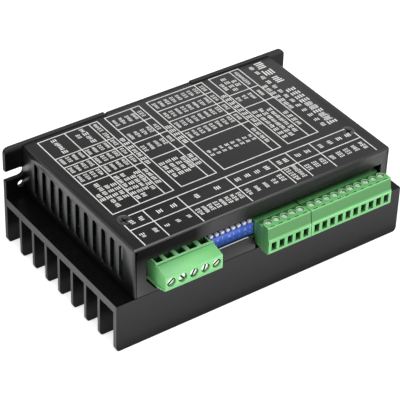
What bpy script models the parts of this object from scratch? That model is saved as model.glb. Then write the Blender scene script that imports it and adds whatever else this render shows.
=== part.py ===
"""Motor driver module: finned heat sink, folded cover, circuit board and plug-in terminals.

Metres, +Z up.  X runs along the terminals, -Y is the terminal side, and the fins point down.
The origin is the centre of the heat sink's footprint, on the plane of the fin tips.
Sizes below are in millimetres, measured from the heat sink's left front lower corner.
"""
import math

import bmesh
import bpy
from mathutils import Matrix, Vector

MM = 0.001

# ---------------------------------------------------------------- driving dimensions (mm)
LENGTH = 134.8          # heat sink along X
DEPTH = 80.5            # heat sink along Y
PLATE_TOP = 22.0        # top of the base plate above the fin tips
PLATE_T = 3.6
FRONT_WALL_T = 2.1
BACK_WALL_T = 2.0
BACK_WALL_TOP = 45.0
FIN_T = 1.6
FIN_COUNT = 7           # between the front and back walls
FIN_FIRST = 12.05       # centre of the fin next to the front wall
FIN_PITCH = 9.38
CORNER_R = 2.2          # rounded ends of the fins and walls

SLOT_Z = 32.45          # open mounting slots in the back wall
SLOT_R = 2.25
SLOT_CENTRE_IN = 6.25
PILOT_IN = 6.8          # small hole under each mounting slot
PILOT_Z = 26.7
PILOT_R = 1.6

COVER_X0 = 7.57
COVER_X1 = 127.0
COVER_T = 1.0
COVER_TOP = 44.7
COVER_R = 1.2
GAP = 0.3               # clearance kept between neighbouring pieces
VENT_COUNT = 11
VENT_FIRST = 8.6
VENT_PITCH = 5.96
VENT_R = 1.3
VENT_Z0 = 26.0
VENT_Z1 = 41.6
OPEN_X0 = 13.0          # connector opening in the cover's front
OPEN_X1 = 123.0
OPEN_TOP = 38.2
SILL_Z = 28.6           # sill below the switch
SILL_LEFT = 28.7        # foot of the opening's left edge; a slanted edge runs from it to the low sill
SILL_LOW = 23.1         # sill below the power terminal; below the signal terminals the flange is open
SCREW_X = (14.65, 119.9)
SCREW_Y = 17.35

BOARD_TOP = 26.5
BOARD_T = 1.6
BOARD_X0 = 9.5
BOARD_X1 = 125.1
BOARD_Y0 = 3.0
BOARD_Y1 = 77.4

SIG_PITCH = 3.81
PWR_PITCH = 5.08
DIP_PITCH = 2.54
THREAD_PITCH = 0.5      # M3 terminal screws

# ---------------------------------------------------------------- helpers


def at(x, y, z):
    """Point in millimetres from the left front lower corner, as metres from the origin."""
    return Vector(((x - LENGTH / 2) * MM, (y - DEPTH / 2) * MM, z * MM))


def material(name, colour, roughness, metallic=0.0):
    mat = bpy.data.materials.new(name)
    mat.use_nodes = True
    bsdf = mat.node_tree.nodes["Principled BSDF"]
    bsdf.inputs["Base Color"].default_value = (*colour, 1.0)
    bsdf.inputs["Roughness"].default_value = roughness
    bsdf.inputs["Metallic"].default_value = metallic
    mat.diffuse_color = (*colour, 1.0)
    return mat


def finish(name, bm, origin, mat, parent=None, cutter=False):
    """Turn a bmesh in world metres into an object whose origin is the given point."""
    bmesh.ops.remove_doubles(bm, verts=bm.verts, dist=1e-7)
    bmesh.ops.recalc_face_normals(bm, faces=bm.faces)
    bmesh.ops.translate(bm, verts=bm.verts, vec=-origin)
    mesh = bpy.data.meshes.new(name)
    bm.to_mesh(mesh)
    bm.free()
    obj = bpy.data.objects.new(name, mesh)
    bpy.context.scene.collection.objects.link(obj)
    obj.location = origin
    if parent is not None:
        obj.parent = parent
        obj.location = origin - WORLD[parent.name]
    WORLD[name] = origin.copy()
    if mat is not None:
        mesh.materials.append(mat)
    if cutter:
        obj.hide_render = True
        obj.display_type = "WIRE"
    return obj


def smooth(obj, degrees=35.0):
    obj.data.shade_smooth()
    obj.data.set_sharp_from_angle(angle=math.radians(degrees))


def add_box(bm, x0, x1, y0, y1, z0, z1):
    """Axis-aligned box given by its limits."""
    low = at(x0, y0, z0)
    high = at(x1, y1, z1)
    size = high - low
    turn = Matrix.Translation((low + high) / 2) @ Matrix.Diagonal((*size, 1.0))
    return bmesh.ops.create_cube(bm, size=1.0, matrix=turn)["verts"]


def add_prism(bm, outline, axis, a, b):
    """Closed outline swept along one axis.  The outline's pairs are the two other axes in order."""
    order = {"X": lambda p, t: (t, p[0], p[1]),
             "Y": lambda p, t: (p[0], t, p[1]),
             "Z": lambda p, t: (p[0], p[1], t)}[axis]
    face = bm.faces.new([bm.verts.new(at(*order(p, a))) for p in outline])
    swept = bmesh.ops.extrude_face_region(bm, geom=[face])
    moved = [e for e in swept["geom"] if isinstance(e, bmesh.types.BMVert)]
    step = at(*order((0, 0), b)) - at(*order((0, 0), a))
    bmesh.ops.translate(bm, verts=moved, vec=step)


def add_turned(bm, profile, axis, centre, segments):
    """Surface of revolution: (radius, distance) pairs, closed at both ends on the axis."""
    spin = {"X": lambda r, t, c, s: (t, r * c, r * s),
            "Y": lambda r, t, c, s: (r * s, t, r * c),
            "Z": lambda r, t, c, s: (r * c, r * s, t)}[axis]
    rings = []
    for radius, dist in profile:
        ring = []
        for k in range(segments if radius > 0 else 1):
            angle = 2 * math.pi * k / segments
            dx, dy, dz = spin(radius, dist, math.cos(angle), math.sin(angle))
            ring.append(bm.verts.new(at(centre[0] + dx, centre[1] + dy, centre[2] + dz)))
        rings.append(ring)
    for low, high in zip(rings, rings[1:]):
        for k in range(segments):
            n = (k + 1) % segments
            corners = [low[k % len(low)], low[n % len(low)], high[n % len(high)], high[k % len(high)]]
            bm.faces.new(list(dict.fromkeys(corners)))


def add_loft(bm, sections):
    """Closed solid through a row of matching outlines, each a list of 3-D points."""
    rings = [[bm.verts.new(at(*p)) for p in section] for section in sections]
    bm.faces.new(rings[0])
    bm.faces.new(rings[-1])
    for low, high in zip(rings, rings[1:]):
        for k in range(len(low)):
            n = (k + 1) % len(low)
            bm.faces.new([low[k], low[n], high[n], high[k]])


def cylinder(radius, a, b):
    return [(0, a), (radius, a), (radius, b), (0, b)]


def arc(cx, cy, radius, start, end, steps):
    """Points on a circular arc, angles in degrees."""
    points = []
    for k in range(steps + 1):
        angle = math.radians(start + (end - start) * k / steps)
        points.append((cx + radius * math.cos(angle), cy + radius * math.sin(angle)))
    return points


def rounded(x0, x1, y0, y1, radius, steps):
    return (arc(x1 - radius, y1 - radius, radius, 0, 90, steps)
            + arc(x0 + radius, y1 - radius, radius, 90, 180, steps)
            + arc(x0 + radius, y0 + radius, radius, 180, 270, steps)
            + arc(x1 - radius, y0 + radius, radius, 270, 360, steps))


def boolean(target, tool, operation="DIFFERENCE"):
    mod = target.modifiers.new(operation.title(), "BOOLEAN")
    mod.operation = operation
    mod.solver = "EXACT"
    mod.use_self = True     # a tool may be several shapes that overlap each other
    mod.object = tool


def cut(target, build):
    """Subtract the shapes that build() adds to an empty bmesh."""
    bm = bmesh.new()
    build(bm)
    boolean(target, finish(target.name + "_cut", bm, at(0, 0, 0), None, cutter=True))


def fuse(target, build):
    """Join the shapes that build() adds."""
    bm = bmesh.new()
    build(bm)
    boolean(target, finish(target.name + "_add", bm, at(0, 0, 0), None, cutter=True), "UNION")


# ---------------------------------------------------------------- heat sink


def heatsink_outline():
    """Cross-section in Y and Z: plate, front wall, fins and tall back wall, walked anticlockwise."""
    under = PLATE_TOP - PLATE_T
    tip = 0.3
    points = [(0, tip), (tip, 0), (FRONT_WALL_T - tip, 0), (FRONT_WALL_T, tip), (FRONT_WALL_T, under)]
    for k in range(FIN_COUNT):
        centre = FIN_FIRST + FIN_PITCH * k
        left = centre - FIN_T / 2
        right = centre + FIN_T / 2
        points += [(left, under), (left, tip), (left + tip, 0)]
        points += [(right - tip, 0), (right, tip), (right, under)]
    wall = DEPTH - BACK_WALL_T
    points += [(wall, under), (wall, tip), (wall + tip, 0), (DEPTH - tip, 0), (DEPTH, tip)]
    points += [(DEPTH, BACK_WALL_TOP), (wall, BACK_WALL_TOP), (wall, PLATE_TOP), (0, PLATE_TOP)]
    return points


def make_heatsink(mat):
    bm = bmesh.new()
    add_prism(bm, heatsink_outline(), "X", 0, LENGTH)
    body = finish("heatsink", bm, at(LENGTH / 2, DEPTH / 2, 0), mat)

    bm = bmesh.new()
    add_prism(bm, rounded(0, LENGTH, 0, BACK_WALL_TOP, CORNER_R, 4), "Y", -2, DEPTH + 2)
    boolean(body, finish("heatsink_ends", bm, at(0, 0, 0), None, cutter=True), "INTERSECT")

    def holes(bm):
        y0 = DEPTH - BACK_WALL_T - 1
        y1 = DEPTH + 1
        left = arc(SLOT_CENTRE_IN, SLOT_Z, SLOT_R, -90, 90, 8)
        left += [(-2, SLOT_Z + SLOT_R), (-2, SLOT_Z - SLOT_R)]
        add_prism(bm, left, "Y", y0, y1)
        add_prism(bm, [(LENGTH - x, z) for x, z in left], "Y", y0, y1)
        for x in (PILOT_IN, LENGTH - PILOT_IN):
            add_turned(bm, cylinder(PILOT_R, y0, y1), "Y", (x, 0, PILOT_Z), 12)
        for x in CLAMP_SCREW_X:
            add_turned(bm, cylinder(1.7, y0, y1), "Y", (x, 0, CLAMP_Z), 12)
        for x in SCREW_X:
            add_turned(bm, cylinder(1.7, 19.6, PLATE_TOP + 1), "Z", (x, SCREW_Y, 0), 12)
        # shallow relief along the middle of the back wall's top edge, with a notch at one end
        add_prism(bm, [(46.6, 43.7), (47.8, 44.4), (87.4, 44.4), (88.2, 46), (45.6, 46)], "Y", y0, y1)

    cut(body, holes)
    return body


# ---------------------------------------------------------------- cover


def opening_outline():
    """Connector opening in X and Z: its sill steps up between the terminals."""
    points = [(OPEN_X1, OPEN_TOP), (OPEN_X0, OPEN_TOP), (OPEN_X0, SILL_LEFT), (PWR_X0 - 0.85, SILL_LOW)]
    points += arc(45.6 - 1.6, SILL_LOW + 1.6, 1.6, 270, 360, 3)
    points += arc(45.6 + 1.2, SILL_Z - 1.2, 1.2, 180, 90, 3)
    points += arc(58.5, SILL_Z - 4.2, 4.2, 90, 0, 6)
    points += [(62.7, PLATE_TOP - 2), (OPEN_X1, PLATE_TOP - 2)]
    return points


def make_cover(mat):
    rear = DEPTH - BACK_WALL_T - GAP
    bm = bmesh.new()
    add_box(bm, COVER_X0, COVER_X1, 0, rear, PLATE_TOP + GAP, COVER_TOP)
    top = at(0, 0, COVER_TOP).z
    front = at(0, 0, 0).y
    rim = []
    posts = []
    for edge in bm.edges:
        a, b = (v.co for v in edge.verts)
        if a.z > top - 1e-6 and b.z > top - 1e-6 and min(a.y, b.y) < front + 1e-6:
            rim.append(edge)
        elif abs(a.z - b.z) > 1e-4 and a.y < front + 1e-6:
            posts.append(edge)
    bmesh.ops.bevel(bm, geom=rim + posts, offset=COVER_R * MM, segments=5, profile=0.5, affect="EDGES")
    body = finish("cover", bm, at(LENGTH / 2, 0, PLATE_TOP), mat)

    def hollow(bm):
        add_box(bm, COVER_X0 + COVER_T, COVER_X1 - COVER_T, COVER_T, rear + 2, 15, COVER_TOP - COVER_T)

    cut(body, hollow)

    def holes(bm):
        add_prism(bm, opening_outline(), "Y", -1, COVER_T + 0.6)
        for x0, x1 in ((COVER_X0 - 1, COVER_X0 + 2), (COVER_X1 - 2, COVER_X1 + 1)):
            for k in range(VENT_COUNT):
                y = VENT_FIRST + VENT_PITCH * k
                slot = arc(y, VENT_Z1 - VENT_R, VENT_R, 0, 180, 6)
                slot += arc(y, VENT_Z0 + VENT_R, VENT_R, 180, 360, 6)
                add_prism(bm, slot, "X", x0, x1)
        sink = [(0, 41), (1.8, 41), (1.8, 43.35), (3.1, COVER_TOP), (3.1, 46), (0, 46)]
        for x in SCREW_X:
            add_turned(bm, sink, "Z", (x, SCREW_Y, 0), 24)
        # bend relief and butt seam where each side meets the front flange
        for x, side in ((COVER_X0 + 1.15, 1), (COVER_X1 - 1.15, -1)):
            add_turned(bm, cylinder(0.65, -1, COVER_T + 0.6), "Y", (x, 0, 42.9), 10)
            add_box(bm, x - 0.14, x + 0.14, -1, 0.35, 20, 42.5)

    cut(body, holes)
    smooth(body, 40)
    return body


# ---------------------------------------------------------------- board and parts fixed to it

CLAMP_Z = 31.4          # clamp screws' height
CLAMP_SCREW_X = (37.4, 97.4)
TRANSISTOR_X = [29.9 + 15.0 * k for k in range(6)]


def make_board(mat):
    bm = bmesh.new()
    outline = [(BOARD_X0, 8.4), (43.75, 8.4), (43.75, BOARD_Y0), (BOARD_X1, BOARD_Y0), (BOARD_X1, BOARD_Y1),
               (BOARD_X0, BOARD_Y1)]
    add_prism(bm, outline, "Z", BOARD_TOP - BOARD_T, BOARD_TOP)
    body = finish("circuit_board", bm, at(LENGTH / 2, DEPTH / 2, BOARD_TOP - BOARD_T), mat)

    def chips(bm):
        base = BOARD_TOP - 0.4
        add_box(bm, 86, 96, 30, 40, base, BOARD_TOP + 1.4)        # controller
        for x in (92, 101, 110):
            add_box(bm, x, x + 5, 52, 58, base, BOARD_TOP + 1.6)  # gate drivers
        add_box(bm, 104, 116, 28, 40, base, BOARD_TOP + 6)        # supply inductor
        add_box(bm, 66, 72.4, 20, 23.2, base, BOARD_TOP + 0.7)    # current shunts
        add_box(bm, 76, 82.4, 20, 23.2, base, BOARD_TOP + 0.7)
        for x in (88, 91, 94, 97, 100):
            add_box(bm, x, x + 1.2, 44, 46, base, BOARD_TOP + 0.6)

    fuse(body, chips)

    def holes(bm):
        for x in SCREW_X:
            add_turned(bm, cylinder(1.75, 20, 30), "Z", (x, SCREW_Y, 0), 16)

    cut(body, holes)
    return body


def make_post(name, x, mat):
    """Hexagonal spacer: a stud through the board and spacer into the plate, tapped at the top."""
    foot = BOARD_TOP + GAP
    head = COVER_TOP - COVER_T - GAP
    bm = bmesh.new()
    hexagon = arc(x, SCREW_Y, 5.5 / math.sqrt(3), 0, 300, 5)
    add_prism(bm, hexagon, "Z", foot, head)
    body = finish(name, bm, at(x, SCREW_Y, foot), mat)

    def stud(bm):
        add_turned(bm, cylinder(1.4, 20.0, foot + 1), "Z", (x, SCREW_Y, 0), 12)

    fuse(body, stud)

    def tapped(bm):
        add_turned(bm, cylinder(1.75, head - 9.5, head + 1), "Z", (x, SCREW_Y, 0), 12)

    cut(body, tapped)
    smooth(body, 50)
    return body


def make_spacer(name, x, mat):
    bm = bmesh.new()
    low = PLATE_TOP + GAP
    high = BOARD_TOP - BOARD_T - GAP
    add_turned(bm, cylinder(3.0, low, high), "Z", (x, SCREW_Y, 0), 20)
    body = finish(name, bm, at(x, SCREW_Y, low), mat)
    cut(body, lambda bm: add_turned(bm, cylinder(1.75, low - 1, high + 1), "Z", (x, SCREW_Y, 0), 12))
    smooth(body)
    return body


def make_cover_screw(name, x, mat):
    """Countersunk cross-recess screw, head flush with the cover."""
    top = COVER_TOP - 0.02
    profile = [(0, top - 8.2), (1.1, top - 8.2), (1.45, top - 7.8), (1.45, top - 1.5), (2.8, top - 0.25),
               (2.8, top), (0, top)]
    bm = bmesh.new()
    add_turned(bm, profile, "Z", (x, SCREW_Y, 0), 24)
    body = finish(name, bm, at(x, SCREW_Y, top), mat)

    def recess(bm):
        arm = 1.55
        half = 0.32
        cross = [(arm, half), (half, half), (half, arm), (-half, arm), (-half, half), (-arm, half),
                 (-arm, -half), (-half, -half), (-half, -arm), (half, -arm), (half, -half), (arm, -half)]
        add_prism(bm, [(x + u, SCREW_Y + v) for u, v in cross], "Z", top - 1.0, top + 1)

    cut(body, recess)
    smooth(body)
    return body


def make_transistor(name, x, mat):
    """TO-220 outline: tab against the back wall, moulded body in front of it, three leads."""
    back = DEPTH - BACK_WALL_T - GAP
    foot = 28.0
    profile = [(back, foot), (back, foot + 15.2), (back - 1.3, foot + 15.2), (back - 1.3, foot + 9.4),
               (back - 4.2, foot + 9.0), (back - 4.5, foot + 8.6), (back - 4.5, foot)]
    bm = bmesh.new()
    add_prism(bm, profile, "X", x - 5, x + 5)
    body = finish(name, bm, at(x, back, foot), mat)

    def leads(bm):
        for k in (-1, 0, 1):
            cx = x + 2.54 * k
            add_box(bm, cx - 0.4, cx + 0.4, back - 2.9, back - 2.4, BOARD_TOP + GAP, foot + 1)

    fuse(body, leads)
    cut(body, lambda bm: add_turned(bm, cylinder(1.8, back - 3, back + 1), "Y", (x, 0, foot + 12.4), 16))
    return body


def make_clamp(mat):
    """Angle strip that presses the six transistors against the back wall."""
    face = DEPTH - BACK_WALL_T - GAP - 4.5 - GAP
    x0 = TRANSISTOR_X[0] - 5
    x1 = TRANSISTOR_X[-1] + 5
    outline = [(face, 29.3), (face, 35.4), (face - 4.4, 35.4), (face - 4.4, 34.2), (face - 1.4, 34.2),
               (face - 1.4, 29.3)]
    bm = bmesh.new()
    add_prism(bm, outline, "X", x0, x1)
    body = finish("clamp_strip", bm, at(LENGTH / 2, face, CLAMP_Z), mat)

    def holes(bm):
        for x in CLAMP_SCREW_X:
            add_turned(bm, cylinder(1.75, face - 4, face + 1), "Y", (x, 0, CLAMP_Z), 12)

    cut(body, holes)
    return body


def make_clamp_screw(name, x, mat):
    """Pan-head screw through the clamp strip into the back wall."""
    face = DEPTH - BACK_WALL_T - GAP - 4.5 - GAP - 1.4 - GAP
    z = CLAMP_Z
    profile = [(0, face - 2.0), (1.9, face - 2.0), (2.6, face - 1.4), (2.6, face), (1.4, face), (1.4, 80.2),
               (0, 80.2)]
    bm = bmesh.new()
    add_turned(bm, profile, "Y", (x, 0, z), 16)
    body = finish(name, bm, at(x, face, z), mat)
    cut(body, lambda bm: add_box(bm, x - 1.7, x + 1.7, face - 3, face - 1.2, z - 0.35, z + 0.35))
    smooth(body)
    return body


def make_capacitor(name, x0, mat):
    """Electrolytic can lying on the board, crimped near its lead end."""
    radius = 7.6
    y = 54.0
    z = BOARD_TOP + GAP + radius
    x1 = x0 + 30
    crimp = radius - 0.7
    profile = [(0, x0), (radius - 0.8, x0), (radius, x0 + 0.8), (radius, x1 - 4.0), (crimp, x1 - 3.4),
               (crimp, x1 - 2.8), (radius, x1 - 2.2), (radius, x1 - 0.7), (radius - 0.8, x1), (0, x1)]
    bm = bmesh.new()
    add_turned(bm, profile, "X", (0, y, z), 28)
    body = finish(name, bm, at(x0, y, z), mat)

    def leads(bm):
        for dy in (-3.75, 3.75):
            low = BOARD_TOP + GAP
            pin = [(x1 - 1, z - 0.4), (x1 + 1.6, z - 0.4), (x1 + 1.6, low), (x1 + 2.4, low),
                   (x1 + 2.4, z + 0.4), (x1 - 1, z + 0.4)]
            add_prism(bm, pin, "Y", y + dy - 0.4, y + dy + 0.4)

    fuse(body, leads)
    smooth(body)
    return body


# ---------------------------------------------------------------- signal terminals

SIG_FACE = -6.7         # front face of the plugs
SIG_BACK = 2.2
SIG_Z0 = 22.75
SIG_Z1 = 34.7
SIG_SCREW_Y = -2.2
SIG_HEAD_Y = 2.6        # front face of the headers


def first_way(x0, x1, ways, pitch):
    return (x0 + x1) / 2 - pitch * (ways - 1) / 2


def make_header(name, x0, x1, y0, y1, z1, ways, pitch, pin, pin_z, pin_tip, mat):
    """Open-fronted board header: a shroud with one square pin for each way."""
    z0 = BOARD_TOP + GAP
    wall = 1.0
    bm = bmesh.new()
    add_box(bm, x0, x1, y0, y1, z0, z1)
    body = finish(name, bm, at((x0 + x1) / 2, y0, z0), mat)
    cut(body, lambda bm: add_box(bm, x0 + wall, x1 - wall, y0 - 1, y1 - 1.4, z0 + 0.9, z1 - 0.9))

    def pins(bm):
        start = first_way(x0, x1, ways, pitch)
        for k in range(ways):
            x = start + pitch * k
            add_box(bm, x - pin / 2, x + pin / 2, pin_tip, y1 - 0.7, pin_z - pin / 2, pin_z + pin / 2)

    fuse(body, pins)
    return body


def make_signal_plug(name, x0, x1, ways, mat):
    """Cage-clamp plug: screw towers on top, square wire entries low on the front, tongue behind."""
    start = first_way(x0, x1, ways, SIG_PITCH)
    centres = [start + SIG_PITCH * k for k in range(ways)]
    tower = 1.78
    # plan outline of the upper part: straight front and sides, scalloped back around the screws
    plan = [(x0, SIG_FACE), (x1, SIG_FACE), (x1, SIG_SCREW_Y)]
    for x in reversed(centres):
        plan += arc(x, SIG_SCREW_Y, tower, 0, 180, 6)
    plan += [(x0, SIG_SCREW_Y)]
    bm = bmesh.new()
    add_prism(bm, plan, "Z", SIG_Z0, SIG_Z1)
    body = finish(name, bm, at((x0 + x1) / 2, SIG_BACK, 30.2), mat)

    def rear(bm):
        # the part that passes through the cover stops short of the opening's right edge
        right = min(x1 - 0.1, OPEN_X1 - GAP)
        add_box(bm, x0 + 0.1, right, SIG_SCREW_Y - 1, SIG_BACK, 23.1, 33.3)
        add_box(bm, x0 + 1.6, x1 - 1.6, SIG_BACK - 1, 9.9, 28.2, 32.0)

    fuse(body, rear)

    def front(bm):
        # the front leans back above the wire entries, and the band around them stands proud
        lean = [(SIG_FACE - 1, 29.4), (SIG_FACE + 0.35, 29.4), (SIG_FACE + 0.45, 29.6),
                (SIG_FACE + 1.1, 34.5), (SIG_FACE + 1.4, 35.5), (SIG_FACE - 1, 35.5)]
        add_prism(bm, lean, "X", x0 - 1, x1 + 1)
        under = [(SIG_FACE - 1, SIG_Z0 + 0.7), (SIG_FACE, SIG_Z0 + 0.5), (SIG_FACE + 0.6, SIG_Z0 - 0.1),
                 (SIG_FACE + 0.6, SIG_Z0 - 1), (SIG_FACE - 1, SIG_Z0 - 1)]
        add_prism(bm, under, "X", x0 - 1, x1 + 1)
        for x in centres:
            add_box(bm, x - 1.25, x + 1.25, SIG_FACE - 1, SIG_FACE + 5.6, 24.2, 28.1)
            add_box(bm, x - 0.9, x + 0.9, -5.35, -4.75, 34.1, 36)
            add_turned(bm, cylinder(1.45, 30.6, 36), "Z", (x, SIG_SCREW_Y, 0), 14)
            add_box(bm, x - 0.85, x + 0.85, 2.6, 12, 29.35, 31.05)
        for k in range(1, ways):
            # deep pocket in the valley between two towers
            x = start + SIG_PITCH * (k - 0.5)
            valley = [(x - 0.2, -1.6), (x + 0.2, -1.6), (x + 1.0, 0.1), (x + 1.0, 1.6), (x - 1.0, 1.6),
                      (x - 1.0, 0.1)]
            add_prism(bm, valley, "Z", 30.0, 36)

    cut(body, front)
    smooth(body, 25)
    return body


def make_signal_screw(name, x, turn, mat, parent):
    """Slotted terminal screw, sunk in its tower."""
    top = 34.2
    profile = [(0, 31.0), (0.75, 31.0), (0.75, 33.1), (1.25, 33.1), (1.25, top - 0.2), (1.05, top), (0, top)]
    bm = bmesh.new()
    add_turned(bm, profile, "Z", (x, SIG_SCREW_Y, 0), 12)
    body = finish(name, bm, at(x, SIG_SCREW_Y, top), mat, parent)
    driver_slot(body, (x, SIG_SCREW_Y), "Z", top, turn, 1.4, 0.22, 0.6)
    smooth(body)
    return body


def driver_slot(body, centre, axis, face, turn, reach, half, deep):
    """Screwdriver slot across a head that faces +Z or -Y, turned by an angle in degrees."""
    c = math.cos(math.radians(turn))
    s = math.sin(math.radians(turn))
    corners = []
    for u, v in ((reach, half), (-reach, half), (-reach, -half), (reach, -half)):
        corners.append((centre[0] + u * c - v * s, centre[1] + u * s + v * c))
    if axis == "Z":
        cut(body, lambda bm: add_prism(bm, corners, "Z", face - deep, face + 1))
    else:
        cut(body, lambda bm: add_prism(bm, corners, "Y", face - 1, face + deep))


# ---------------------------------------------------------------- power terminal

PWR_X0 = 18.15
PWR_X1 = 43.6
PWR_FACE = -5.3
PWR_BACK = 7.2
PWR_TOP = 33.0
PWR_Z0 = 23.4
PWR_SCREW_Z = 28.9
RIB = 2.0


def make_power_plug(mat):
    """Plug with its screws on the front and its wire wells on top, divided by round-ended ribs."""
    deck = 31.4
    profile = [(PWR_FACE + 0.25, 24.75), (PWR_FACE, 25.0), (PWR_FACE + 0.25, 30.85), (PWR_FACE + 0.5, 31.1),
               (0.75, 32.55), (0.9, 32.15), (1.25, 32.2), (1.35, PWR_TOP), (2.1, PWR_TOP), (2.1, deck),
               (PWR_BACK, deck), (PWR_BACK, PWR_Z0), (-0.2, PWR_Z0)]
    bm = bmesh.new()
    add_prism(bm, profile, "X", PWR_X0, PWR_X1)
    body = finish("power_plug", bm, at((PWR_X0 + PWR_X1) / 2, PWR_BACK, PWR_SCREW_Z), mat)
    start = first_way(PWR_X0, PWR_X1, 5, PWR_PITCH)
    centres = [start + PWR_PITCH * k for k in range(5)]

    def ribs(bm):
        for k in range(4):
            x = centres[k] + PWR_PITCH / 2
            crown = arc(x, PWR_TOP - RIB / 2, RIB / 2, 0, 180, 8)
            crown += [(x - RIB / 2, deck - 0.5), (x + RIB / 2, deck - 0.5)]
            add_prism(bm, crown, "Y", 1.6, 6.1)
        for x0, x1 in ((PWR_X0 + 0.35, PWR_X0 + 1.1), (PWR_X1 - 1.1, PWR_X1 - 0.35)):
            add_box(bm, x0, x1, 1.6, 6.1, deck - 0.5, PWR_TOP - 0.1)
        # foot flange along each end, which widens towards the back
        for x, out in ((PWR_X0, -1), (PWR_X1, 1)):
            ring = []
            for y, z, tall, wide in ((PWR_FACE + 0.5, 24.85, 0.55, 0.3), (-0.2, 23.55, 0.65, 0.55),
                                     (PWR_BACK - 0.4, 23.55, 0.5, 0.85)):
                ring.append([(x - out * 0.7, y, z), (x + out * wide, y, z),
                             (x + out * wide, y, z + tall), (x - out * 0.7, y, z + tall)])
            add_loft(bm, ring)
        add_box(bm, PWR_X0 + 1.6, PWR_X1 - 1.6, PWR_BACK - 1, 15.0, 27.9, 33.4)

    fuse(body, ribs)

    def holes(bm):
        well = (PWR_PITCH - RIB) / 2
        for x in centres:
            add_box(bm, x - well, x + well, 2.1, 6.4, 24.6, 35)
            add_turned(bm, cylinder(2.0, PWR_FACE - 1, -3.1), "Y", (x, 0, PWR_SCREW_Z - 0.9), 18)
            add_turned(bm, cylinder(1.5, -4.2, 3), "Y", (x, 0, PWR_SCREW_Z - 0.9), 12)
            add_box(bm, x - 1.0, x + 1.0, 8.4, 17, 29.6, 31.6)

    cut(body, holes)
    smooth(body, 25)
    return body, centres


def make_power_screw(name, x, turn, mat, parent):
    """M3 terminal screw along Y, sunk in the plug's front, its thread in the cage behind."""
    z = PWR_SCREW_Z - 0.9
    face = PWR_FACE + 0.95
    profile = [(0, face), (1.5, face), (1.75, face + 0.25), (1.75, face + 1.2), (1.0, face + 1.2), (1.0, 3.9),
               (0, 3.9)]
    bm = bmesh.new()
    add_turned(bm, profile, "Y", (x, 0, z), 18)
    body = finish(name, bm, at(x, face, z), mat, parent)
    driver_slot(body, (x, z), "Y", face, turn, 2.0, 0.4, 0.9)
    smooth(body)
    return body


def make_cage(name, x, mat, parent):
    """Rising clamp: a square ring around the wire, drawn along the screw."""
    z = PWR_SCREW_Z - 0.9
    bm = bmesh.new()
    add_box(bm, x - 1.38, x + 1.38, 2.4, 5.3, z - 2.1, z + 2.1)
    body = finish(name, bm, at(x, 2.4, z), mat, parent)

    def through(bm):
        add_box(bm, x - 0.98, x + 0.98, 3.0, 4.8, z - 3, z + 3)
        add_turned(bm, cylinder(1.12, 1.0, 4.0), "Y", (x, 0, z), 12)

    cut(body, through)
    return body


# ---------------------------------------------------------------- option switch

DIP_X0 = 43.95
DIP_X1 = 63.95
DIP_Y0 = 3.4
DIP_Y1 = 12.4
DIP_TOP = 32.0
DIP_SLOT = (3.9, 8.1)
LEVER_Y = 4.7           # slider centre in its forward position


def make_dip(mat):
    base = BOARD_TOP + GAP
    bm = bmesh.new()
    outline = rounded(DIP_Y0, DIP_Y1, base, DIP_TOP, 0.25, 2)
    add_prism(bm, outline, "X", DIP_X0, DIP_X1)
    body = finish("option_switch", bm, at((DIP_X0 + DIP_X1) / 2, DIP_Y0, base), mat)
    start = first_way(DIP_X0, DIP_X1, 8, DIP_PITCH)

    def slots(bm):
        for k in range(8):
            x = start + DIP_PITCH * k
            add_box(bm, x - 0.88, x + 0.88, DIP_SLOT[0], DIP_SLOT[1], DIP_TOP - 1.5, DIP_TOP + 1)

    cut(body, slots)
    return body, start


def make_slider(name, x, mat, parent):
    """White slider with a raised thumb edge."""
    low = DIP_TOP - 1.2
    bm = bmesh.new()
    outline = [(-0.62, low), (0.62, low), (0.62, DIP_TOP + 0.75), (0.42, DIP_TOP + 0.95),
               (-0.42, DIP_TOP + 0.95), (-0.62, DIP_TOP + 0.75)]
    add_prism(bm, [(LEVER_Y + y, z) for y, z in outline], "X", x - 0.66, x + 0.66)
    return finish(name, bm, at(x, LEVER_Y, DIP_TOP), mat, parent)


# ---------------------------------------------------------------- assembly

WORLD = {}


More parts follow.
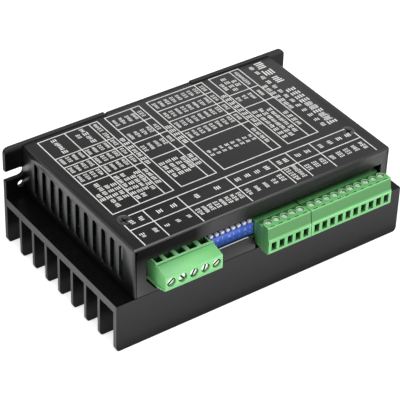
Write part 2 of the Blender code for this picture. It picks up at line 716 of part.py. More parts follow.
def main():
    for obj in list(bpy.data.objects):
        bpy.data.objects.remove(obj, do_unlink=True)

    anodised = material("anodised_black", (0.030, 0.030, 0.032), 0.45, 0.6)
    painted = material("painted_cover", (0.040, 0.040, 0.042), 0.42)
    laminate = material("board_laminate", (0.02, 0.16, 0.07), 0.5)
    zinc = material("zinc_steel", (0.62, 0.62, 0.60), 0.32, 1.0)
    black_screw = material("black_screw", (0.035, 0.035, 0.035), 0.4, 0.8)
    epoxy = material("epoxy_black", (0.025, 0.025, 0.027), 0.55)
    sleeve = material("capacitor_sleeve", (0.03, 0.035, 0.06), 0.4)
    green = material("terminal_green", (0.14, 0.56, 0.17), 0.4)
    blue = material("switch_blue", (0.03, 0.09, 0.55), 0.4)
    white = material("slider_white", (0.85, 0.85, 0.83), 0.4)

    make_heatsink(anodised)
    make_cover(painted)
    make_board(laminate)
    for side, x in zip(("left", "right"), SCREW_X):
        make_post("cover_post_" + side, x, zinc)
        make_spacer("board_spacer_" + side, x, zinc)
        make_cover_screw("cover_screw_" + side, x, black_screw)
    for k, x in enumerate(TRANSISTOR_X):
        make_transistor("transistor_%d" % (k + 1), x, epoxy)
    make_clamp(zinc)
    for side, x in zip(("left", "right"), CLAMP_SCREW_X):
        make_clamp_screw("clamp_screw_" + side, x, zinc)
    make_capacitor("capacitor_1", 14.0, sleeve)
    make_capacitor("capacitor_2", 50.0, sleeve)

    make_header("power_header", 18.4, 43.35, 7.6, 17.0, 34.6, 5, PWR_PITCH, 1.2, 30.6, 9.2, green)
    plug, centres = make_power_plug(green)
    turns = (38, -52, 62, 74, 36)
    for k, x in enumerate(centres):
        make_power_screw("power_screw_%d" % (k + 1), x, turns[k], zinc, plug)
        make_cage("power_cage_%d" % (k + 1), x, zinc, plug)

    signal = (("signal_a", 64.0, 84.1, 5), ("signal_b", 84.5, 123.65, 10))
    for name, x0, x1, ways in signal:
        make_header(name + "_header", x0 + 0.25, x1 - 0.1, SIG_HEAD_Y, 11.8, 33.3, ways, SIG_PITCH, 1.0,
                    30.2, 4.2, green)
        plug = make_signal_plug(name + "_plug", x0, x1, ways, green)
        for k in range(ways):
            x = first_way(x0, x1, ways, SIG_PITCH) + SIG_PITCH * k
            make_signal_screw("%s_screw_%d" % (name, k + 1), x, (k * 67 + ways * 13) % 180, zinc, plug)

    body, start = make_dip(blue)
    for k in range(8):
        make_slider("switch_slider_%d" % (k + 1), start + DIP_PITCH * k, white, body)

    bpy.context.view_layer.update()


main()
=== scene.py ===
"""Looks for the motor driver module: materials, rounded edges, lid print, small trim, floor, light, camera."""
import math
import random

import bmesh
import bpy
from mathutils import Matrix, Vector


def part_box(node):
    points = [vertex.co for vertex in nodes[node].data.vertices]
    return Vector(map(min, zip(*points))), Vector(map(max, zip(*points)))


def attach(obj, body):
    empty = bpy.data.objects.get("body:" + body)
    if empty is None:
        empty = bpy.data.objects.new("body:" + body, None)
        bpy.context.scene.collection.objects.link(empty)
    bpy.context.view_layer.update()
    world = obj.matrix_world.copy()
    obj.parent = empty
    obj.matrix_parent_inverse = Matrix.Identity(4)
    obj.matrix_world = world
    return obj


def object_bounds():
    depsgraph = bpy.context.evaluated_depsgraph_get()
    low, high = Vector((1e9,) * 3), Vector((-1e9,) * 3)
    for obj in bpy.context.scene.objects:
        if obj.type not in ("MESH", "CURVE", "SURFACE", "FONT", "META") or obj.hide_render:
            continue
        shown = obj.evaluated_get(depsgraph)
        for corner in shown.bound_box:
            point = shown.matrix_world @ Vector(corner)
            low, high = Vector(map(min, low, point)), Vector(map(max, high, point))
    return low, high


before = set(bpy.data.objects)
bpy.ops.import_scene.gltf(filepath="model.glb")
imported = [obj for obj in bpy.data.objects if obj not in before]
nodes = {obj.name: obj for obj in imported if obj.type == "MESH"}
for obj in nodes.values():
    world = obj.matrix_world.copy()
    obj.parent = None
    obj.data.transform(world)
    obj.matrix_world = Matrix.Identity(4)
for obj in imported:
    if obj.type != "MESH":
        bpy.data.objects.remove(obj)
cad_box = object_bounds()
MM = 0.001
# Where each node's own origin is, with the module at rest
HOME = {name: obj.matrix_world.translation.copy() for name, obj in nodes.items()}

# ------------------------------------------------------------------ material building


class Tree:
    """A small builder for one material's nodes."""

    def __init__(self, name):
        self.mat = bpy.data.materials.new(name)
        self.mat.use_nodes = True
        self.nt = self.mat.node_tree
        self.bsdf = self.nt.nodes["Principled BSDF"]
        self.coord = self.nt.nodes.new("ShaderNodeTexCoord")

    def node(self, kind, links=(), **values):
        n = self.nt.nodes.new("ShaderNode" + kind)
        for key, value in values.items():
            if key in n.inputs.keys():
                n.inputs[key].default_value = value
            else:
                setattr(n, key, value)
        for key, source in dict(links).items():
            self.nt.links.new(source, n.inputs[key])
        return n

    def mapped(self, scale):
        m = self.node("Mapping", {"Vector": self.coord.outputs["Object"]})
        m.inputs["Scale"].default_value = scale
        return m.outputs["Vector"]

    def noise(self, scale, stretch=(1, 1, 1), detail=3.0, rough=0.55):
        n = self.node("TexNoise", {"Vector": self.mapped(stretch)}, Detail=detail, Roughness=rough)
        n.inputs["Scale"].default_value = scale
        return n.outputs["Fac"]

    def ramp(self, source, low, high, from_low=0.3, from_high=0.7):
        r = self.node("MapRange", {"Value": source})
        r.inputs["From Min"].default_value = from_low
        r.inputs["From Max"].default_value = from_high
        r.inputs["To Min"].default_value = low
        r.inputs["To Max"].default_value = high
        return r.outputs["Result"]

    def mix(self, factor, a, b):
        m = self.node("Mix", data_type="RGBA")
        for key, value in (("Factor", factor), ("A", a), ("B", b)):
            sockets = [s for s in m.inputs if s.name == key and s.type in ("VALUE", "RGBA")]
            socket = [s for s in sockets if s.type == ("VALUE" if key == "Factor" else "RGBA")][0]
            if isinstance(value, bpy.types.NodeSocket):
                self.nt.links.new(value, socket)
            else:
                socket.default_value = value if key == "Factor" else (*value, 1.0)
        return [s for s in m.outputs if s.type == "RGBA"][0]

    def maths(self, operation, a, b=0.0):
        m = self.node("Math", operation=operation)
        for socket, value in zip(m.inputs, (a, b)):
            if isinstance(value, bpy.types.NodeSocket):
                self.nt.links.new(value, socket)
            else:
                socket.default_value = value
        return m.outputs["Value"]

    def times(self, first, *others):
        """The product of two or more values."""
        product = first
        for other in others:
            product = self.maths("MULTIPLY", product, other)
        return product

    def rest_of(self, mask):
        """1 minus a mask."""
        return self.maths("SUBTRACT", 1.0, mask)

    def place(self, axis, stops, node):
        """A value that follows (position in mm, value) stops along one axis of a node.

        Positions are those of the module at rest, and the pattern moves with the node.
        """
        split = self.node("SeparateXYZ", {"Vector": self.coord.outputs["Object"]})
        low, high = stops[0][0], stops[-1][0]
        home = HOME[node]["XYZ".index(axis)]
        along = self.ramp(split.outputs[axis], 0, 1, low * MM - home, high * MM - home)
        curve = self.node("ValToRGB", {"Fac": along})
        elements = curve.color_ramp.elements
        for k, (where, value) in enumerate(stops):
            if k in (0, len(stops) - 1):
                e = elements[0 if k == 0 else len(elements) - 1]
                e.position = (where - low) / (high - low)
            else:
                e = elements.new((where - low) / (high - low))
            e.color = (value, value, value, 1.0)
        return curve.outputs["Color"]

    def facing(self, axis):
        """How far the surface faces along one axis, from -1 to 1."""
        geo = self.node("NewGeometry")
        split = self.node("SeparateXYZ", {"Vector": geo.outputs["True Normal"]})
        return split.outputs[axis]

    def side(self, axis):
        """1 where the surface faces along that axis, either way."""
        return self.maths("GREATER_THAN", self.maths("ABSOLUTE", self.facing(axis)), 0.7)

    def faces_up(self, least=0.2):
        """1 where the surface faces upwards."""
        return self.maths("GREATER_THAN", self.facing("Z"), least)

    def edges(self, radius):
        """Rises to 1 along convex edges and in tight corners."""
        round_off = self.node("Bevel", samples=4, Radius=radius)
        geo = self.node("NewGeometry")
        dot = self.node("VectorMath", operation="DOT_PRODUCT")
        self.nt.links.new(round_off.outputs["Normal"], dot.inputs[0])
        self.nt.links.new(geo.outputs["True Normal"], dot.inputs[1])
        return self.ramp(dot.outputs["Value"], 1.0, 0.0, 0.86, 0.985)

    def openness(self, reach, own_only, low, high):
        """Falls from 1 in the open to 0 where other surfaces stand within reach."""
        near = self.node("AmbientOcclusion", samples=8, only_local=own_only, Distance=reach)
        return self.ramp(near.outputs["AO"], 0, 1, low, high)

    def bump(self, height, strength, distance, below=None):
        b = self.node("Bump", {"Height": height}, Strength=strength, Distance=distance)
        if below is not None:
            self.nt.links.new(below, b.inputs["Normal"])
        return b.outputs["Normal"]

    def sheen(self, level):
        """Lets a value that varies over the surface drive the strength of its gloss."""
        self.nt.links.new(level, self.bsdf.inputs["Specular IOR Level"])

    def done(self, colour, rough, normal=None, **fixed):
        """Joins the values to the shader; fixed ones are set on its own sockets."""
        for key, value in (("Base Color", colour), ("Roughness", rough), ("Normal", normal)):
            if isinstance(value, bpy.types.NodeSocket):
                self.nt.links.new(value, self.bsdf.inputs[key])
            elif value is not None:
                self.bsdf.inputs[key].default_value = value
        for key, value in fixed.items():
            self.bsdf.inputs[key.replace("_", " ")].default_value = value
        return self.mat


def anodised():
    """Black anodised extrusion: die lines along X, sawn and slightly paler ends, a tone that drifts a little,
    a painted highlight along the top of the back wall, and painted shade and reflection in its gloss.
    """
    t = Tree("anodised_extrusion")
    lines = t.noise(900, (0.012, 1, 1), 4)
    broad = t.noise(60, (0.05, 1, 1), 3)
    saw = t.noise(700, (1, 0.35, 0.05), 3)
    cloud = t.noise(35, detail=5)
    end = t.side("X")
    body = t.mix(t.ramp(cloud, 0, 1), (0.0012, 0.0012, 0.0013), (0.0026, 0.0026, 0.0028))
    # painted highlight: the top of the back wall is coloured paler, standing in for the light it catches
    top_highlight = t.place("Z", ((22, 0), (43.0, 0), (44.6, 1), (46, 1)), "heatsink")
    body = t.mix(top_highlight, body, (0.030, 0.030, 0.031))
    ends = t.mix(t.ramp(saw, 0, 1), (0.005, 0.005, 0.0053), (0.015, 0.015, 0.0155))
    rough = t.ramp(t.maths("ADD", lines, broad), 0.24, 0.36, 0.7, 1.3)
    rough = t.maths("ADD", rough, t.times(end, 0.05))
    normal = t.bump(t.times(lines, t.rest_of(end)), 0.35, 0.00004)
    normal = t.bump(t.times(saw, end), 0.4, 0.00006, normal)
    # painted shade in the reflection: the gloss is painted weaker low down, towards the fin tips, where the
    # floor it reflects lies in shade
    gloss_shade_by_height = t.place("Z", ((0, 0.30), (1, 0.30), (3, 0.42), (6, 0.62), (10, 0.71), (20, 0.92), (22, 0.92),
                               (23, 0.6), (45, 0.6)), "heatsink")
    # painted reflection: the gloss of the sawn ends is painted stronger at the front and weaker towards the
    # back
    end_gloss_by_depth = t.place("Y", ((-40, 1.5), (0, 1.0), (20, 0.8), (38.4, 0.42), (38.6, 0.30), (41, 0.30)),
                         "heatsink")
    t.sheen(t.times(t.mix(end, gloss_shade_by_height, end_gloss_by_depth), 0.29))
    return t.done(t.mix(end, body, ends), rough, normal)


def painted():
    """Satin black powder coat: fine orange peel, faint speckle, a pale line on the sill, and painted
    reflections and painted shade in its gloss.
    """
    t = Tree("powder_coat_black")
    peel = t.noise(1500, detail=2)
    speck = t.noise(5200, detail=1)
    cloud = t.noise(28, detail=5)
    colour = t.mix(t.ramp(cloud, 0, 1), (0.0015, 0.0015, 0.0016), (0.0030, 0.0030, 0.0032))
    colour = t.mix(t.ramp(speck, 0, 0.35, 0.62, 0.75), colour, (0.014, 0.014, 0.0145))
    rough = t.ramp(cloud, 0.28, 0.36)

    def zone(axis, *stops):
        return t.place(axis, stops, "cover")

    # the back half of the punched sill's top under the switch is coloured pale, as a thin pale line
    sill = zone("Z", (22, 0), (28.3, 0), (28.4, 1), (28.9, 1), (29.0, 0), (45, 0))
    inner = zone("Y", (-41, 0), (-39.85, 0), (-39.7, 1), (-30, 1))
    colour = t.mix(t.times(sill, inner, t.faces_up(0.8)), colour, (0.62, 0.66, 0.62))
    # painted reflections and painted shade: the strength of the coat's gloss is painted higher or lower along
    # the lid, the front strip and the sides
    top = zone("X", (-67, 0.9), (-37, 1.04), (-7, 1.68), (23, 1.80), (60, 1.88))
    strip = zone("X", (-60, 0.03), (-47, 0.06), (-33, 0.08), (-25, 0.8), (-15, 0.75), (-9, 0.42), (43, 0.42),
                 (51, 1.15), (60, 1.15))
    rise = zone("Z", (22, 0.0), (29, 0.0), (40, 1.0), (45, 1.0))
    flank = zone("Z", (22, 0.15), (23.5, 0.2), (26, 0.4), (30, 1.1), (34, 1.1), (40, 1.4), (45, 1.7))
    rear = zone("Y", (-41, 1), (0, 1), (20, 0.55), (33, 0.15), (40, 0.05))
    low = zone("Z", (22, 1), (32.5, 1), (36.5, 0), (45, 0))
    crown = zone("Z", (22, 0), (43.0, 0), (43.2, 1), (45, 1))
    front = t.mix(rise, (0.84, 0.84, 0.84), strip)
    level = t.mix(t.side("Y"), top, front)
    level = t.mix(t.side("X"), level, t.times(flank, t.mix(low, (1, 1, 1), rear)))
    # the lid's bends catch the light
    bend = t.times(t.maths("SUBTRACT", t.faces_up(0.3), t.faces_up(0.97)), crown)
    level = t.mix(bend, level, (2.2, 2.2, 2.2))
    t.sheen(t.times(level, 0.45))
    return t.done(colour, rough, t.bump(peel, 0.22, 0.00005))


def moulded(name, dark, light, rough=0.34, wear=None):
    """Moulded plastic: colour that drifts a little, a fine spark-eroded texture and a soft sheen.

    wear takes the tree and the plain colour, and returns the colour with painted highlights, painted shade and
    darker zones laid on.
    """
    t = Tree(name)
    drift = t.noise(90, detail=4)
    fine = t.noise(2600, detail=2)
    colour = t.mix(t.ramp(drift, 0, 1), dark, light)
    if wear:
        colour = wear(t, colour)
    roughness = t.ramp(t.maths("ADD", drift, fine), rough - 0.06, rough + 0.08, 0.8, 1.2)
    return t.done(colour, roughness, t.bump(fine, 0.16, 0.00004))


def edge_highlight_and_well_shade(t, colour):
    """Painted highlights along the edges, and painted shade in the narrow wells."""
    colour = t.mix(t.times(t.edges(0.35 * MM), 0.8), colour, GREEN_EDGE_HIGHLIGHT)
    return t.mix(t.openness(5 * MM, False, 0.2, 0.7), GREEN_POCKET_SHADE, colour)


def power_plug_light_and_shade(t, colour):
    """The power plug: rib tops between the wells painted pale as painted light, and painted shade on the
    foot's front and on the outer end's upward faces.
    """
    node = "power_plug"
    colour = edge_highlight_and_well_shade(t, colour)
    back = t.place("Y", ((-48, 0), (-38.9, 0), (-38.5, 1), (-30, 1)), node)
    high = t.place("Z", ((20, 0), (31.6, 0), (32.0, 1), (36, 1)), node)
    # painted light: the rib tops are coloured a pale, lit-looking green
    colour = t.mix(t.times(back, high, t.faces_up()), colour, (0.46, 0.96, 0.47))
    # painted shade: a darker green on the foot's front and on the outer end's upward faces
    shaded_green = tuple(0.6 * c for c in POWER_GREENS[0])
    foot = t.place("Z", ((20, 0.7), (24.2, 0.6), (27.0, 0), (36, 0)), node)
    colour = t.mix(t.times(foot, t.side("Y")), colour, shaded_green)
    outer = t.place("X", ((-52, 0.7), (-46, 0.5), (-38, 0), (-20, 0)), node)
    return t.mix(t.times(outer, t.faces_up(0.3), t.rest_of(back)), colour, shaded_green)


def signal_shade_and_tone(node):
    """A signal plug or a header: painted shade on the end walls and on the decks under the cover, and a darker
    green on the leaning front.
    """
    def wear(t, colour):
        # painted shade on the end walls, then painted edge highlights and painted shade in the wells
        colour = edge_highlight_and_well_shade(t, t.mix(t.times(t.side("X"), 0.8), colour, (0.034, 0.120, 0.044)))
        # painted shade on the decks under the cover
        back = t.place("Y", ((-60, 0), (-40.6, 0), (-40.5, 0.72), (-38.8, 0.8), (-38.6, 0.1), (-37.7, 0.35),
                             (-36.4, 0.85), (-35.0, 1)), node)
        low = t.place("Z", ((20, 1), (33.7, 1), (34.0, 0), (40, 0)), node)
        colour = t.mix(t.times(back, low, t.faces_up()), colour, GREEN_POCKET_SHADE)
        # the upper front panel, which leans back, is coloured a darker green
        panel = t.place("Z", ((20, 0), (29.6, 0), (29.8, 1), (34.0, 1), (34.35, 0), (40, 0)), node)
        return t.mix(t.times(panel, t.side("Y")), colour, (0.064, 0.222, 0.064))
    return wear


def metal(name, dark, light, rough, brushed=(1, 1, 1), slot_shade=None, metallic=1.0):
    """Plated or oiled metal with turning marks and stains, and painted shade down in its slot."""
    t = Tree(name)
    marks = t.noise(2400, brushed, 3)
    stain = t.noise(260, detail=4)
    colour = t.mix(t.ramp(stain, 0, 1), dark, light)
    # painted shade: darker where the slot's walls close in
    if slot_shade:
        colour = t.mix(t.openness(1.2 * MM, True, 0.35, 0.75), slot_shade, colour)
    roughness = t.ramp(t.maths("ADD", marks, stain), rough - 0.08, rough + 0.12, 0.8, 1.2)
    return t.done(colour, roughness, t.bump(marks, 0.3, 0.00003), Metallic=metallic)


def board():
    """Green solder mask over copper: tracks as a faint brick pattern, bare laminate on the cut edges."""
    t = Tree("solder_mask")
    tracks = t.node("TexBrick", {"Vector": t.mapped((1, 1, 1))}, offset=0.37, squash=0.6)
    tracks.inputs["Scale"].default_value = 180
    tracks.inputs["Mortar Size"].default_value = 0.12
    tracks.inputs["Color1"].default_value = (0.0010, 0.010, 0.0045, 1)
    tracks.inputs["Color2"].default_value = (0.0014, 0.014, 0.006, 1)
    tracks.inputs["Mortar"].default_value = (0.003, 0.028, 0.011, 1)
    weave = t.noise(3000, detail=2)
    edge = t.mix(t.ramp(weave, 0, 1), (0.03, 0.045, 0.022), (0.05, 0.07, 0.04))
    flat = t.side("Z")
    colour = t.mix(flat, edge, tracks.outputs["Color"])
    return t.done(colour, t.ramp(weave, 0.28, 0.4), t.bump(tracks.outputs["Fac"], 0.3, 0.00004))


def ink():
    """White screen print, a little uneven where it was squeegeed."""
    t = Tree("screen_print_white")
    wear = t.noise(420, detail=5)
    grit = t.noise(2600, detail=2)
    colour = t.mix(t.ramp(wear, 0, 1), (0.56, 0.56, 0.55), (0.80, 0.80, 0.79))
    return t.done(colour, t.ramp(grit, 0.45, 0.62), t.bump(grit, 0.25, 0.00003))


# Greens, dark and light, of the power plug and of the other terminals
POWER_GREENS = ((0.155, 0.475, 0.165), (0.19, 0.545, 0.20))
SIGNAL_GREENS = ((0.118, 0.39, 0.124), (0.148, 0.455, 0.154))
# Painted highlight colour for the green terminals' edges, and painted shade colour for their wells and decks
GREEN_EDGE_HIGHLIGHT = (0.32, 0.72, 0.33)
GREEN_POCKET_SHADE = (0.006, 0.034, 0.008)

MATS = {
    "heatsink": anodised(),
    "cover": painted(),
    "board": board(),
    "steel": metal("zinc_plate", (0.16, 0.16, 0.155), (0.26, 0.26, 0.25), 0.34),
    "solder": metal("solder_tin", (0.55, 0.55, 0.53), (0.80, 0.80, 0.78), 0.26),
    "screw": metal("nickel_screw", (0.70, 0.69, 0.67), (0.90, 0.90, 0.88), 0.24, brushed=(1, 0.2, 1),
                   slot_shade=(0.03, 0.03, 0.03)),
    "small_screw": metal("zinc_screw", (0.66, 0.74, 0.63), (0.88, 0.95, 0.84), 0.40, brushed=(1, 1, 0.2),
                         metallic=0.35),
    "black": metal("black_oxide", (0.10, 0.10, 0.105), (0.22, 0.22, 0.225), 0.28,
                   slot_shade=(0.004, 0.004, 0.004)),
    "epoxy": moulded("epoxy_body", (0.012, 0.012, 0.013), (0.022, 0.022, 0.023), 0.48),
    "sleeve": moulded("capacitor_sleeve_dark", (0.010, 0.012, 0.028), (0.016, 0.019, 0.042), 0.30),
    "blue": moulded("switch_blue_moulded", (0.055, 0.13, 0.55), (0.080, 0.165, 0.68), 0.30),
    "white": moulded("slider_white_moulded", (0.84, 0.84, 0.83), (0.90, 0.90, 0.89), 0.36),
    "ink": ink(),
    "pad_print": moulded("pad_print_blue", (0.30, 0.42, 0.78), (0.46, 0.58, 0.88), 0.45),
    "power_plug": moulded("green_power_plug", *POWER_GREENS, 0.42, power_plug_light_and_shade),
}
for name in ("power_header", "signal_a_plug", "signal_a_header", "signal_b_plug", "signal_b_header"):
    MATS[name] = moulded("green_" + name, *SIGNAL_GREENS, 0.42, signal_shade_and_tone(name))


# Which material a node takes, from how its name starts; a node not listed is plated steel
KINDS = (("cover_screw", "black"), ("power_screw", "screw"), ("signal_a_screw", "small_screw"),
         ("signal_b_screw", "small_screw"), ("circuit", "board"), ("transistor", "epoxy"),
         ("capacitor", "sleeve"), ("option", "blue"), ("switch_slider", "white"))
# Width of the rounded edges, in millimetres
ROUNDING = {"heatsink": 0.22, "cover": 0.12, "power_plug": 0.22, "signal_a_plug": 0.16, "signal_b_plug": 0.16,
            "option_switch": 0.10, "power_header": 0.15, "signal_a_header": 0.15, "signal_b_header": 0.15}


def kind_of(name):
    if name in MATS:
        return name
    for start, kind in KINDS:
        if name.startswith(start):
            return kind
    return "steel"


def round_edges(obj, width, smooth):
    """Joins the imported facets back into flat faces, then rounds the edges between them."""
    weld = obj.modifiers.new("Weld", "WELD")
    weld.merge_threshold = 0.000001
    flat = obj.modifiers.new("Flat", "DECIMATE")
    flat.decimate_type = "DISSOLVE"
    flat.angle_limit = math.radians(0.5)
    bevel = obj.modifiers.new("Bevel", "BEVEL")
    bevel.width = width * MM
    bevel.segments = 2
    bevel.limit_method = "ANGLE"
    bevel.angle_limit = math.radians(32)
    bevel.use_clamp_overlap = True
    bevel.harden_normals = smooth
    if smooth:
        obj.data.shade_smooth()
    else:
        obj.data.shade_flat()


def dress_cad():
    for name, obj in nodes.items():
        obj.data.materials.clear()
        obj.data.materials.append(MATS[kind_of(name)])
        if name in ROUNDING:
            round_edges(obj, ROUNDING[name], name != "heatsink")


dress_cad()

# ------------------------------------------------------------------ pieces of the builder's own


def add_object(name, bm, mat):
    mesh = bpy.data.meshes.new(name)
    bm.normal_update()
    bm.to_mesh(mesh)
    bm.free()
    obj = bpy.data.objects.new(name, mesh)
    bpy.context.scene.collection.objects.link(obj)
    mesh.materials.append(mat)
    return obj


def piece(name, bm, body, mat):
    obj = add_object(name, bm, mat)
    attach(obj, body)
    return obj


def slab(bm, x0, x1, y0, y1, z0, z1, skew=None):
    """Closed box in metres; skew maps each plan point."""
    pts = [(x0, y0), (x1, y0), (x1, y1), (x0, y1)]
    if skew:
        pts = [skew(*p) for p in pts]
    low = [bm.verts.new((*p, z0)) for p in pts]
    high = [bm.verts.new((*p, z1)) for p in pts]
    bm.faces.new(low[::-1])
    bm.faces.new(high)
    for k in range(4):
        n = (k + 1) % 4
        bm.faces.new((low[k], low[n], high[n], high[k]))


# ------------------------------------------------------------------ lid print
# Ruled tables and abstract dashes where the real lid carries its legend.  Sizes are in millimetres from the
# cover's front left corner.  Each table: left, right, front, back, column rules, row rules.

LID_LOW, LID_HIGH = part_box("cover")
RULE = 0.42
# A print stands this far out of its surface, and reaches this far into it
PRINT_RAISE, PRINT_SINK = 0.03 * MM, 0.02 * MM
TABLES = (
    (5.6, 32.8, 22.8, 76.5, (17.7, 28.9), (43.9, 50.6, 57.1, 63.6)),
    (36.5, 52.7, 23.0, 76.7, (48.8,), (43.9, 56.1, 67.0)),
    (56.4, 83.5, 23.1, 76.8, (79.7,), (44.1, 52.4, 60.7, 69.0)),
    (87.2, 102.0, 23.2, 76.9, (97.5,), (52.3, 62.6)),
)
# Runs of marks inside the tables and beside them: where the lines are, the span of each run along a line,
# the marks' size and their pitch
BLOCKS = (
    ((11.6,), ((64.6, 75.8),), 2.2, 2.9),
    ((21.4,), ((70.2, 73.2),), 1.7, 1.4),
    ((24.6,), ((64.6, 75.8),), 2.2, 2.9),
    ((30.9,), ((64.4, 68.6), (69.6, 75.4)), 1.7, 1.4),
    ((7.4, 10.2, 13.0, 15.8, 19.2, 22.0, 24.7, 27.4), ((45.6, 49.9), (52.2, 56.4), (58.9, 62.8)), 1.6, 1.35),
    ((30.9,), ((45.6, 50.0), (52.1, 56.4), (58.6, 63.0)), 1.6, 1.35),
    ((7.4,), ((31.0, 36.4),), 2.1, 2.9),
    ((10.2, 19.2, 22.0), ((25.2, 42.6),), 2.1, 2.9),
    ((13.0, 15.8, 24.7), ((28.2, 39.6),), 2.1, 2.9),
    ((27.3,), ((27.2, 41.2),), 2.1, 2.9),
    ((30.9,), ((29.0, 40.4),), 2.1, 2.9),
    ((38.5, 41.5, 44.5, 47.4, 50.7), ((48.9, 53.4), (58.5, 62.8), (69.2, 73.8)), 1.7, 1.4),
    ((38.5, 41.5, 44.5), ((29.0, 40.6),), 2.2, 2.9),
    ((47.4, 50.7), ((30.6, 39.0),), 2.2, 2.9),
    ((58.3, 61.1, 63.9, 66.7, 69.5, 72.4, 75.2, 78.1, 81.6),
     ((46.8, 51.3), (55.0, 59.3), (62.6, 67.1), (70.8, 75.0)), 1.6, 1.4),
    ((58.3, 61.1, 63.9, 66.7, 69.5, 72.4, 75.2, 78.0), ((32.0, 37.0),), 1.6, 2.2),
    ((81.6,), ((28.2, 39.6),), 2.0, 3.2),
    ((89.2,), ((26.5, 49.2),), 2.1, 2.9),
    ((92.2,), ((26.5, 48.8),), 2.1, 2.9),
    ((95.2,), ((28.0, 47.4),), 2.1, 2.9),
    ((99.5,), ((31.0, 42.4),), 2.1, 2.9),
    ((89.2, 95.2), ((66.2, 71.6),), 2.1, 2.6),
    ((92.2,), ((63.8, 75.0),), 2.1, 2.9),
    ((99.5,), ((55.6, 60.0), (65.0, 75.6)), 1.7, 1.4),
    ((89.2, 92.2), ((57.0, 60.2),), 1.7, 1.4),
    ((95.2,), ((55.6, 60.3),), 1.7, 1.4),
    ((34.6,), ((41.6, 62.0),), 2.2, 3.05),
    ((54.5,), ((45.2, 59.4),), 2.2, 3.05),
    ((85.4,), ((39.2, 65.0),), 2.2, 2.9),
    ((103.6,), ((41.6, 61.8),), 2.2, 2.9),
    ((106.9,), ((24.4, 76.0),), 2.1, 3.9),
    ((111.2,), ((59.0, 77.0),), 4.4, 6.2),
    ((111.2,), ((24.3, 54.4),), 4.2, 3.05),
)
# Strip along the front edge: its ends, the rules across it, which leave room for the lid screws at the ends,
# the upper marks' places, and each lower mark's place, width, front and back
STRIP_LEFT, STRIP_RIGHT = 5.6, 113.8
STRIP_FRONT, STRIP_MID, STRIP_BACK = 1.1, 11.2, 19.0
STRIP_RULES = (16.1, 31.5, 53.8, 74.3, 82.5, 94.0)
SCREW_GAP_LEFT, SCREW_GAP_RIGHT, SCREW_GAP_BACK = 9.9, 111.9, 3.9
UPPER_Y, UPPER_WIDE, UPPER_TALL = 15.1, 2.2, 2.3
STRIP_UPPER = (9.0, 13.1, 21.2, 27.4, 38.0, 47.4, 57.0, 61.5, 66.1, 70.7, 76.8, 79.8, 85.8, 90.4, 96.9, 101.5,
               106.0, 110.4)
LOWER_PITCH = 1.5
STRIP_LOWER = ((8.1, 2.0, 5.2, 7.9), (13.7, 2.0, 5.2, 8.0), (18.8, 1.9, 5.6, 7.6), (23.8, 1.9, 5.6, 7.6),
               (28.6, 1.9, 5.6, 7.6), (56.0, 1.9, 4.6, 8.7), (60.0, 1.9, 4.8, 8.3), (64.0, 1.9, 4.8, 8.3),
               (68.1, 1.9, 4.8, 8.3), (71.7, 2.1, 4.6, 9.3), (76.5, 2.1, 2.3, 10.9), (79.8, 2.1, 2.3, 10.9),
               (84.5, 2.1, 4.6, 8.7), (88.1, 2.1, 4.6, 8.7), (91.7, 2.1, 4.6, 8.7), (96.2, 2.1, 5.2, 8.1),
               (100.0, 2.1, 4.6, 8.7), (103.6, 2.1, 4.6, 8.7), (107.4, 2.1, 4.6, 8.7), (111.3, 2.1, 4.2, 9.0))
# Columns of marks in front of the option switch
SWITCH_WAYS = 8
SWITCH_COLUMNS = [33.5 + 2.64 * k for k in range(SWITCH_WAYS)]
SWITCH_COLUMN_RUN = (4.5, 8.9)
SWITCH_COLUMN_WIDE = 1.9
# The share of a mark's size that its shortest dash may have, and the room each mark takes of its pitch
DASH_SHORTEST, MARK_SHARE = 0.62, 0.8


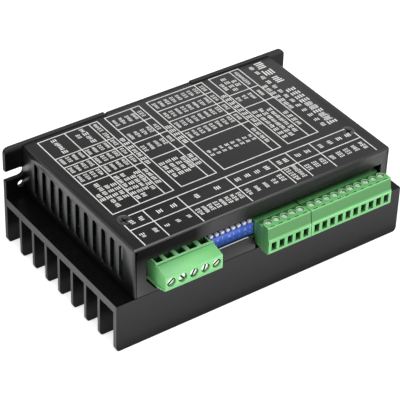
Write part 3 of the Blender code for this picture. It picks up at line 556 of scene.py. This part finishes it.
def lid_print():
    rng = random.Random(11)
    bm = bmesh.new()

    def skew(x, y):
        """The screen's frame isn't quite square to the lid: a third of a degree each way."""
        return (LID_LOW.x + (x + 0.0053 * (y - 40)) * MM, LID_LOW.y + (y + 0.0055 * (x - 60)) * MM)

    def bar(x0, x1, y0, y1):
        slab(bm, x0, x1, y0, y1, LID_HIGH.z - PRINT_SINK, LID_HIGH.z + PRINT_RAISE, skew)

    def mark(x, y, wide, tall):
        """One abstract mark: a few parallel dashes of unequal length."""
        along = rng.random() < 0.5
        count = 3 if max(wide, tall) < 3 else 4
        span = wide if along else tall
        other = tall if along else wide
        stroke = span / (2 * count - 1) * 1.05
        for k in range(count):
            c = -span / 2 + stroke / 2 + k * (span - stroke) / (count - 1)
            a = -other / 2 * rng.uniform(DASH_SHORTEST, 1.0)
            b = other / 2 * rng.uniform(DASH_SHORTEST, 1.0)
            if along:
                bar(x + c - stroke / 2, x + c + stroke / 2, y + a, y + b)
            else:
                bar(x + a, x + b, y + c - stroke / 2, y + c + stroke / 2)

    def run(x, y0, y1, wide, pitch, tallest=math.inf):
        """A line of marks along the lid's depth."""
        count = max(1, round((y1 - y0) / pitch))
        step = (y1 - y0) / count
        for k in range(count):
            mark(x, y0 + step * (k + 0.5), wide, min(tallest, step * MARK_SHARE))

    half = RULE / 2
    for left, right, front, back, columns, rows in TABLES:
        for x in (left, right, *columns):
            bar(x - half, x + half, front - half, back + half)
        edges = [left, *columns, right]
        for y in (front, back, *rows):
            for a, b in zip(edges, edges[1:]):
                bar(a + half, b - half, y - half, y + half)
    for lines, spans, size, pitch in BLOCKS:
        for x in lines:
            for y0, y1 in spans:
                run(x, y0, y1, size, pitch, size)
    for x in (STRIP_LEFT, STRIP_RIGHT):
        bar(x - half, x + half, STRIP_FRONT, STRIP_BACK - SCREW_GAP_BACK)
    for x in STRIP_RULES:
        bar(x - half, x + half, STRIP_FRONT, STRIP_BACK + half)
    edges = [STRIP_LEFT, *STRIP_RULES, STRIP_RIGHT]
    for a, b in zip(edges, edges[1:]):
        bar(a + half, b - half, STRIP_MID - half, STRIP_MID + half)
        start, stop = max(a + half, SCREW_GAP_LEFT), min(b - half, SCREW_GAP_RIGHT)
        bar(start, stop, STRIP_BACK - half, STRIP_BACK + half)
    for x in STRIP_UPPER:
        mark(x, UPPER_Y, UPPER_WIDE, UPPER_TALL)
    for x, wide, y0, y1 in STRIP_LOWER:
        run(x, y0, y1, wide, LOWER_PITCH)
    for x in SWITCH_COLUMNS:
        run(x, *SWITCH_COLUMN_RUN, SWITCH_COLUMN_WIDE, LOWER_PITCH, SWITCH_COLUMN_WIDE)
    return piece("lid_print", bm, "chassis", MATS["ink"])


lid_print()

# ------------------------------------------------------------------ small trim

SWITCH_PITCH = 2.54 * MM
STROKE_PITCH, STROKE_WIDTH, STROKE_SHIFT = 0.5 * MM, 0.26 * MM, 0.14 * MM
# Height of each row of strokes above the switch's foot, and how tall its strokes are
STROKE_ROWS = ((3.0 * MM, 1.3 * MM), (1.2 * MM, 0.6 * MM))


def switch_print():
    """Short pale strokes on the switch's front, one cluster for each way."""
    rng = random.Random(5)
    low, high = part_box("option_switch")
    bm = bmesh.new()
    mid = (low.x + high.x) / 2
    for k in range(SWITCH_WAYS):
        x = mid + SWITCH_PITCH * (k - (SWITCH_WAYS - 1) / 2)
        for foot, tall in STROKE_ROWS:
            for j in range(rng.choice((1, 2, 3))):
                left = x + STROKE_PITCH * (j - 1) - STROKE_SHIFT
                z = low.z + foot + rng.uniform(0.0, 0.3) * MM
                slab(bm, left, left + STROKE_WIDTH, low.y - PRINT_RAISE, low.y + PRINT_SINK,
                     z, z + tall * rng.uniform(0.5, 1.0))
    return piece("switch_print", bm, "chassis", MATS["pad_print"])


switch_print()

BOARD_THICK = 1.6 * MM
DOT_COUNT, DOT_STEP = 46, 1.08 * MM
# Where the first fillet is, from the board's front left corner, how far in the second row lies, and how deep
# the fillets reach into the board
DOT_FIRST, DOT_ROW_GAP, DOT_SINK = (1.2 * MM, 18.5 * MM), 1.5 * MM, 0.1 * MM


def solder_dots():
    """Two staggered rows of solder fillets along the board's left edge, seen through the side slots."""
    rng = random.Random(3)
    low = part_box("circuit_board")[0]
    top = low.z + BOARD_THICK
    bm = bmesh.new()
    for k in range(DOT_COUNT):
        x = low.x + DOT_FIRST[0] + DOT_ROW_GAP * (k % 2) + rng.uniform(-0.2, 0.2) * MM
        y = low.y + DOT_FIRST[1] + DOT_STEP * k
        half = rng.uniform(0.28, 0.45) * MM
        slab(bm, x - half, x + half, y - half, y + half, top - DOT_SINK, top + rng.uniform(0.3, 0.6) * MM)
    return piece("solder_dots", bm, "chassis", MATS["solder"])


solder_dots()

# ------------------------------------------------------------------ floor, light, camera

# Each soft light: name, place, width and height in metres, and watts.  All aim at LIGHT_AIM.
LIGHTS = (("soft_top", (-0.10, -0.38, 0.80), (1.4, 0.9), 8.0),
          ("soft_left", (-0.69, -0.42, 0.74), (0.6, 0.6), 2.2),
          ("soft_front", (-0.25, -0.85, 0.50), (0.5, 0.35), 0.9))
LIGHT_AIM = Vector((0, 0, 0.02))
WORLD_STRENGTH = 0.50
# A little of the floor's own light keeps it as pale as a lit studio sweep
FLOOR_GLOW = 0.42
FLOOR_HALF = 4.0
FLOOR_DROP = 0.02 * MM


def lay_floor():
    t = Tree("studio_floor")
    cloud = t.noise(3, detail=2)
    mat = t.done(t.mix(t.ramp(cloud, 0, 1), (0.90, 0.90, 0.90), (0.92, 0.92, 0.92)), 0.7,
                 Specular_IOR_Level=0.1, Emission_Color=(1.0, 1.0, 1.0, 1.0), Emission_Strength=FLOOR_GLOW)
    bm = bmesh.new()
    bmesh.ops.create_grid(bm, x_segments=1, y_segments=1, size=FLOOR_HALF)
    floor = add_object("floor", bm, mat)
    floor.location.z = cad_box[0].z - FLOOR_DROP


def hang_lights():
    world = bpy.data.worlds.new("studio")
    world.use_nodes = True
    background = world.node_tree.nodes["Background"]
    background.inputs["Color"].default_value = (1.0, 1.0, 1.0, 1.0)
    background.inputs["Strength"].default_value = WORLD_STRENGTH
    bpy.context.scene.world = world
    for name, place, size, watts in LIGHTS:
        light = bpy.data.lights.new(name, "AREA")
        light.shape = "RECTANGLE"
        light.size, light.size_y = size
        light.energy = watts
        obj = bpy.data.objects.new(name, light)
        obj.location = place
        obj.rotation_euler = (LIGHT_AIM - Vector(place)).to_track_quat("-Z", "Y").to_euler()
        bpy.context.scene.collection.objects.link(obj)
    bpy.context.scene.view_settings.view_transform = "Standard"


# The camera's place in metres, and its aim: azimuth from +Y towards +X, how far it looks down, and its roll
CAMERA_PLACE = (-0.34461, -0.465308, 0.452742)
AZIMUTH, LOOK_DOWN, ROLL = math.radians(36.383), math.radians(36.910), math.radians(2.03)
# Sensor width and focal length, in millimetres
SENSOR, LENS = 36.0, 164.6


def set_camera():
    data = bpy.data.cameras.new("camera")
    data.sensor_width = SENSOR
    data.lens = LENS
    data.clip_start = 0.01
    obj = bpy.data.objects.new("camera", data)
    bpy.context.scene.collection.objects.link(obj)
    level = math.cos(LOOK_DOWN)
    ahead = Vector((math.sin(AZIMUTH) * level, math.cos(AZIMUTH) * level, -math.sin(LOOK_DOWN)))
    right = ahead.cross(Vector((0, 0, 1))).normalized()
    up = right.cross(ahead)
    across = right * math.cos(ROLL) + up * math.sin(ROLL)
    upright = up * math.cos(ROLL) - right * math.sin(ROLL)
    turn = Matrix((across, upright, -ahead)).transposed().to_4x4()
    obj.matrix_world = Matrix.Translation(CAMERA_PLACE) @ turn
    bpy.context.scene.camera = obj


lay_floor()
hang_lights()
set_camera()
